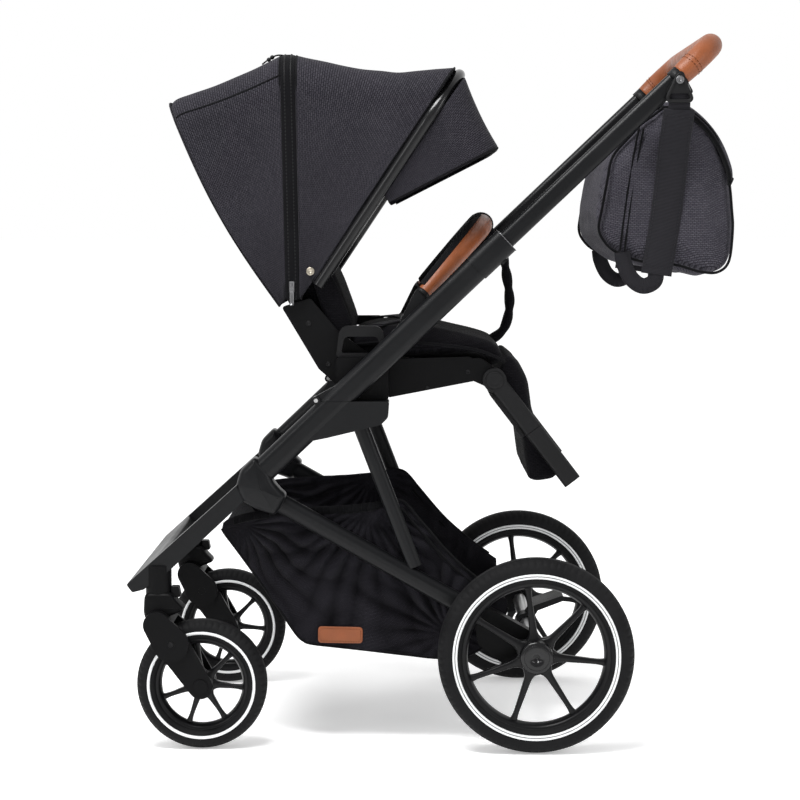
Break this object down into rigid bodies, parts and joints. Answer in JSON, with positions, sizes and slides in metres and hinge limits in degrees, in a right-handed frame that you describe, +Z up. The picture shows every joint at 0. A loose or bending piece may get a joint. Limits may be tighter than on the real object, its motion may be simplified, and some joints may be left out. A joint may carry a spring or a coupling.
{
  "type": "baby stroller",
  "caption": "Folding baby stroller with a reclining parent-facing seat, canopy, bumper bar, leg rest, under-seat basket and a bag hung from the telescopic handle.",
  "frame": {"origin": "on the floor, under the middle of the stroller's bounding box", "axes": "-X is the direction of travel, +X points to the handle, +Z is up, -Y is the stroller's left side"},
  "size_m": [0.9089, 0.5916, 1.0731],
  "materials": {
    "frame_black": "matte",
    "moulded_black": "matte",
    "arc_black": "satin",
    "steel": "satin",
    "tyre_rubber": "matte",
    "reflective_ring": "satin",
    "rim_black": "satin",
    "seat_fabric": "fine ribbed weave",
    "webbing": "woven",
    "leather_cognac": "fine grain"
  },
  "bodies": {
    "chassis": {"front_crossbar": "moulded_black", "front_leg_left": "frame_black", "front_leg_right": "frame_black", "elbows": "moulded_black", "hinge_brackets": "frame_black", "fold_pins": "steel", "rear_leg_left": "frame_black", "rear_leg_right": "frame_black", "rear_housings": "moulded_black", "struts": "frame_black", "rear_axle": "steel", "swivel_housings": "moulded_black", "basket": "seat_fabric"},
    "caster_left": {"fork_head_left": "moulded_black"},
    "front_arm_left": {"fork_arm_left": "moulded_black"},
    "front_wheel_left": {"front_tyre_left": "tyre_rubber", "front_rim_left": "rim_black"},
    "rear_wheel_left": {"rear_tyre_left": "tyre_rubber", "rear_rim_left": "rim_black"},
    "swivel_lock_left": {"swivel_lock_left": "moulded_black"},
    "caster_right": {"fork_head_right": "moulded_black"},
    "front_arm_right": {"fork_arm_right": "moulded_black"},
    "front_wheel_right": {"front_tyre_right": "tyre_rubber", "front_rim_right": "rim_black"},
    "rear_wheel_right": {"rear_tyre_right": "tyre_rubber", "rear_rim_right": "rim_black"},
    "swivel_lock_right": {"swivel_lock_right": "moulded_black"},
    "brake_pedal": {"brake_pedal": "moulded_black"},
    "upper_frame": {"upper_tube_left": "frame_black", "upper_tube_right": "frame_black"},
    "handle": {"handle_tube_left": "frame_black", "handle_tube_right": "frame_black", "handle_grip": "leather_cognac", "bag_hooks": "moulded_black"},
    "bag": {"bag_body": "seat_fabric", "bag_straps": "webbing"},
    "height_button_left": {"height_button_left": "moulded_black"},
    "height_button_right": {"height_button_right": "moulded_black"},
    "seat": {"seat_frame": "moulded_black", "seat_adaptors": "moulded_black", "seat_pad": "seat_fabric", "harness_buckle": "moulded_black", "crotch_strap": "webbing"},
    "release_loop_left": {"release_loop_left": "moulded_black"},
    "release_loop_right": {"release_loop_right": "moulded_black"},
    "backrest": {"backrest_frame": "moulded_black", "backrest_pad": "seat_fabric", "shoulder_straps": "webbing", "canopy_rear": "seat_fabric"},
    "canopy_mid": {"canopy_mid_rib": "moulded_black", "zip_cord": "webbing", "zip_bead": "moulded_black"},
    "canopy_front": {"canopy_front": "seat_fabric", "canopy_arc": "arc_black", "canopy_visor": "seat_fabric"},
    "leg_rest": {"leg_rest_frame": "moulded_black", "leg_pad": "seat_fabric"},
    "footboard": {"footboard": "moulded_black"},
    "bumper": {"bumper_bar": "frame_black", "bumper_sleeve": "leather_cognac"}
  },
  "joints": [
    {"name": "caster_swivel_left", "type": "hinge", "parent": "chassis", "child": "caster_left", "pos_m": [-0.408, -0.24, 0.229], "axis": [0, 0, 1], "continuous": true},
    {"name": "fork_spring_left", "type": "hinge", "parent": "caster_left", "child": "front_arm_left", "pos_m": [-0.3864, -0.24, 0.164], "axis": [0, -1, 0], "range_deg": [0, 8], "stiffness_Nm_per_rad": 60, "springref_deg": -6.88},
    {"name": "front_wheel_spin_left", "type": "hinge", "parent": "front_arm_left", "child": "front_wheel_left", "pos_m": [-0.3434, -0.24, 0.0987], "axis": [0, 1, 0], "continuous": true},
    {"name": "rear_wheel_spin_left", "type": "hinge", "parent": "chassis", "child": "rear_wheel_left", "pos_m": [0.1586, -0.27, 0.1475], "axis": [0, 1, 0], "continuous": true},
    {"name": "swivel_lock_slide_left", "type": "slide", "parent": "chassis", "child": "swivel_lock_left", "axis": [0, 0, 1], "range_m": [0, 0.006]},
    {"name": "caster_swivel_right", "type": "hinge", "parent": "chassis", "child": "caster_right", "pos_m": [-0.408, 0.24, 0.229], "axis": [0, 0, 1], "continuous": true},
    {"name": "fork_spring_right", "type": "hinge", "parent": "caster_right", "child": "front_arm_right", "pos_m": [-0.3864, 0.24, 0.164], "axis": [0, -1, 0], "range_deg": [0, 8], "stiffness_Nm_per_rad": 60, "springref_deg": -6.88},
    {"name": "front_wheel_spin_right", "type": "hinge", "parent": "front_arm_right", "child": "front_wheel_right", "pos_m": [-0.3434, 0.24, 0.0987], "axis": [0, 1, 0], "continuous": true},
    {"name": "rear_wheel_spin_right", "type": "hinge", "parent": "chassis", "child": "rear_wheel_right", "pos_m": [0.1586, 0.27, 0.1475], "axis": [0, 1, 0], "continuous": true},
    {"name": "swivel_lock_slide_right", "type": "slide", "parent": "chassis", "child": "swivel_lock_right", "axis": [0, 0, 1], "range_m": [0, 0.006]},
    {"name": "brake_press", "type": "hinge", "parent": "chassis", "child": "brake_pedal", "pos_m": [0.1586, 0, 0.1475], "axis": [0, 1, 0], "range_deg": [0, 20]},
    {"name": "frame_fold", "type": "hinge", "parent": "chassis", "child": "upper_frame", "pos_m": [-0.1699, 0, 0.5275], "axis": [0, -1, 0], "range_deg": [0, 160], "deforming": ["bag_body", "bag_straps"]},
    {"name": "handle_telescope", "type": "slide", "parent": "upper_frame", "child": "handle", "axis": [-0.7254, 0, -0.6884], "range_m": [0, 0.14]},
    {"name": "bag_swing", "type": "hinge", "parent": "handle", "child": "bag", "pos_m": [0.36676, 0, 1.00624], "axis": [0, -1, 0], "range_deg": [-8, 15]},
    {"name": "height_button_push_left", "type": "slide", "parent": "upper_frame", "child": "height_button_left", "axis": [-0.6884, 0, 0.7254], "range_m": [0, 0.0028], "stiffness_N_per_m": 400},
    {"name": "height_button_push_right", "type": "slide", "parent": "upper_frame", "child": "height_button_right", "axis": [-0.6884, 0, 0.7254], "range_m": [0, 0.0028], "stiffness_N_per_m": 400},
    {"name": "seat_lift", "type": "slide", "parent": "chassis", "child": "seat", "axis": [0, 0, 1], "range_m": [0, 0.13]},
    {"name": "release_pull_left", "type": "slide", "parent": "seat", "child": "release_loop_left", "axis": [0, 0, 1], "range_m": [0, 0.008], "stiffness_N_per_m": 300, "springref_m": -0.004},
    {"name": "release_pull_right", "type": "slide", "parent": "seat", "child": "release_loop_right", "axis": [0, 0, 1], "range_m": [0, 0.008], "stiffness_N_per_m": 300, "springref_m": -0.004},
    {"name": "recline", "type": "hinge", "parent": "seat", "child": "backrest", "pos_m": [-0.1024, 0, 0.561], "axis": [0, -1, 0], "range_deg": [0, 35]},
    {"name": "canopy_fold", "type": "hinge", "parent": "backrest", "child": "canopy_mid", "pos_m": [-0.1894, 0, 0.684], "axis": [0, -1, 0], "range_deg": [0, 22], "deforming": ["canopy_rear"]},
    {"name": "canopy_front_fold", "type": "hinge", "parent": "canopy_mid", "child": "canopy_front", "pos_m": [-0.1894, 0, 0.684], "axis": [0, -1, 0], "range_deg": [0, 30], "deforming": ["canopy_front"]},
    {"name": "leg_rest_tilt", "type": "hinge", "parent": "seat", "child": "leg_rest", "pos_m": [0.0986, 0, 0.554], "axis": [0, -1, 0], "range_deg": [0, 50], "deforming": ["leg_pad"]},
    {"name": "footboard_slide", "type": "slide", "parent": "leg_rest", "child": "footboard", "axis": [0.609, 0, -0.7932], "range_m": [0, 0.05]},
    {"name": "bumper_swing", "type": "hinge", "parent": "seat", "child": "bumper", "pos_m": [-0.0494, 0, 0.606], "axis": [0, -1, 0], "range_deg": [-30, 20], "deforming": ["crotch_strap"]}
  ],
  "couplings": [
    {"joint": "canopy_front_fold", "follows": "canopy_fold", "ratio": 1.3636}
  ]
}
